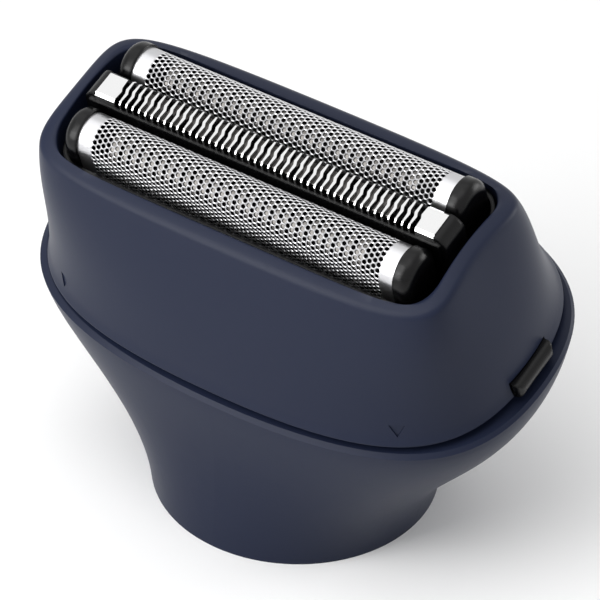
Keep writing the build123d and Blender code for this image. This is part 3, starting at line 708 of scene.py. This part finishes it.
    def build(self) -> bpy.types.Object:
        """Makes the cap, cuts its notches and marks and puts it in the place of the CAD cap.

        Returns:
            The cap's object.
        """
        rows = self.rows()
        numbers = np.arange(rows.shape[0] * rows.shape[1]).reshape(rows.shape[:2])
        right = np.roll(numbers, -1, axis=1)
        quads = np.stack([numbers, right, np.roll(right, -1, axis=0), np.roll(numbers, -1, axis=0)], axis=-1)
        points = self.head.place(rows.reshape(-1, 3))
        cap = make_piece("foil_frame_moulding", points, [quads.reshape(-1, 4)], Surface.NAVY, "housing")
        tool_points, tool_faces = self.cutters()
        cut_out(cap, self.head.place(tool_points), tool_faces)
        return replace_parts(cap, "foil_frame")


@dataclass(frozen=True)
class Softbox:
    """A square lamp that faces the object.

    It stands toward a direction that is given in shares of the camera's right, up and back. Its
    distance and side are millimetres.
    """

    name: str
    toward: tuple[float, float, float]
    distance: float
    side: float
    watts: float


@dataclass(frozen=True)
class Studio:
    """Floor, soft lamps, white surroundings and the camera of the photograph.

    The surroundings have one level for what the eye and reflections see and one for the light that
    they shed. The camera's angles are degrees, and it aims a little right of the pivot and below it.
    """

    floor_half: float = 3000.0
    floor_colour: str = "#f9f9f9"
    floor_roughness: float = 0.9
    surround_colour: str = "#ffffff"
    seen_level: float = 1.0
    shed_level: float = 0.5
    camera_azimuth: float = 35.07
    camera_elevation: float = 38.63
    camera_distance: float = 450.5
    pivot_height: float = 28.0
    aim_right: float = 0.531
    aim_down: float = 3.174
    lens: float = 253.3
    sensor: float = 36.0
    softboxes: tuple[Softbox, ...] = (
        Softbox("top_softbox", (-0.2, 0.8, 0.6), 1000, 1400, 4.4),
        Softbox("key_softbox", (-0.85, -0.1, 0.4), 500, 220, 0.9),
        Softbox("rim_softbox", (1.0, 0.4, -0.1), 550, 300, 1.0),
        Softbox("front_softbox", (-0.2, 0.6, 0.75), 700, 500, 0.6),
        Softbox("near_softbox", (-0.68, 0.22, 0.69), 152, 90, 0.11))

    @property
    def pivot(self) -> np.ndarray:
        """The point over the origin that the camera and the lamps are placed about."""
        return np.array([0.0, 0.0, self.pivot_height])

    def axes(self) -> tuple[np.ndarray, np.ndarray, np.ndarray]:
        """The camera's axes at the photograph's angle.

        Returns:
            Unit vectors to the camera's right, up and back.
        """
        a, e = math.radians(self.camera_azimuth), math.radians(self.camera_elevation)
        right = np.array([math.cos(a), math.sin(a), 0.0])
        back = np.array([math.sin(a) * math.cos(e), -math.cos(a) * math.cos(e), math.sin(e)])
        return right, np.cross(back, right), back

    def place(self, thing: bpy.types.Object, spot: np.ndarray, direction: np.ndarray) -> None:
        """Puts a lamp or the camera at a spot and lets it look along a direction.

        Args:
            thing: the lamp's or the camera's object.
            spot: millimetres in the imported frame.
            direction: where it looks, of any length.
        """
        thing.location = Vector(spot * MM)
        thing.rotation_mode = "QUATERNION"
        thing.rotation_quaternion = Vector(direction).to_track_quat("-Z", "Y")

    def camera(self) -> None:
        """Makes the camera that the photograph was fitted with."""
        right, up, back = self.axes()
        data = bpy.data.cameras.new("photo_camera")
        data.lens = self.lens
        data.sensor_width = self.sensor
        eye = add_object("photo_camera", data)
        spot = self.pivot + self.camera_distance * back
        aim = self.pivot + self.aim_right * right - self.aim_down * up
        self.place(eye, spot, aim - spot)
        bpy.context.scene.camera = eye

    def lamp(self, softbox: Softbox) -> None:
        """Adds one softbox.

        Args:
            softbox: the lamp to add.
        """
        direction = sum(share * axis for share, axis in zip(softbox.toward, self.axes()))
        direction = direction / np.linalg.norm(direction)
        data = bpy.data.lights.new(softbox.name, "AREA")
        data.shape = "SQUARE"
        data.size = softbox.side * MM
        data.energy = softbox.watts
        box = add_object(softbox.name, data)
        self.place(box, self.pivot + softbox.distance * direction, -direction)

    def surroundings(self) -> None:
        """White to the eye and in reflections, and a lower level for the light that it sheds."""
        world = bpy.data.worlds.new("studio")
        bpy.context.scene.world = world
        world.use_nodes = True
        tree = world.node_tree
        tree.nodes.clear()
        path = add_node(tree, "ShaderNodeLightPath").outputs
        seen = add_node(tree, "ShaderNodeMath", {0: path["Is Camera Ray"], 1: path["Is Glossy Ray"]},
                        operation="MAXIMUM")
        seen = add_node(tree, "ShaderNodeMath", {0: seen.outputs[0], 1: path["Is Transmission Ray"]},
                        operation="MAXIMUM")
        colour = linear(self.surround_colour)
        shed = add_node(tree, "ShaderNodeBackground", {"Color": colour, "Strength": self.shed_level})
        white = add_node(tree, "ShaderNodeBackground", {"Color": colour, "Strength": self.seen_level})
        mixed = add_node(tree, "ShaderNodeMixShader", {
            0: seen.outputs[0], 1: shed.outputs[0], 2: white.outputs[0]})
        add_node(tree, "ShaderNodeOutputWorld", {"Surface": mixed.outputs[0]})

    def floor(self) -> None:
        """Makes the pale floor under the neck's rim."""
        half = self.floor_half * MM
        corners = np.array([(-half, -half, 0), (half, -half, 0), (half, half, 0), (-half, half, 0)])
        mesh = make_mesh("floor", corners, [np.array([(0, 1, 2, 3)])])
        paper = Finish("matt_white_paper", self.floor_colour, self.floor_roughness)
        mesh.materials.append(paper.material())
        sheet = add_object("floor", mesh)

    def build(self) -> None:
        """Sets up the whole studio."""
        bpy.context.scene.view_settings.view_transform = "Standard"
        self.surroundings()
        self.floor()
        self.camera()
        for softbox in self.softboxes:
            self.lamp(softbox)


def dress_nodes() -> None:
    """Gives every CAD node the finish of its slot."""
    finishes = {surface.slot: surface.finish for surface in Surface}
    for part in frame["record"]["subparts"]:
        node = frame["nodes"][part["node"]]
        material = finishes[part["material_slot"]].material()
        for holder in node.material_slots:
            holder.material = material
        LOG.info("%s dressed as %s", node.name, material.name)


def main() -> None:
    """Builds the head's sub-assemblies and the studio in order."""
    logging.basicConfig(level=logging.INFO, format="%(name)s: %(message)s")
    head = HeadFrame()
    dress_nodes()
    for line in Line:
        FoilSheet(head).build(line)
    FrameShell(head).build()
    Studio().build()


if __name__ == "__main__":
    main()
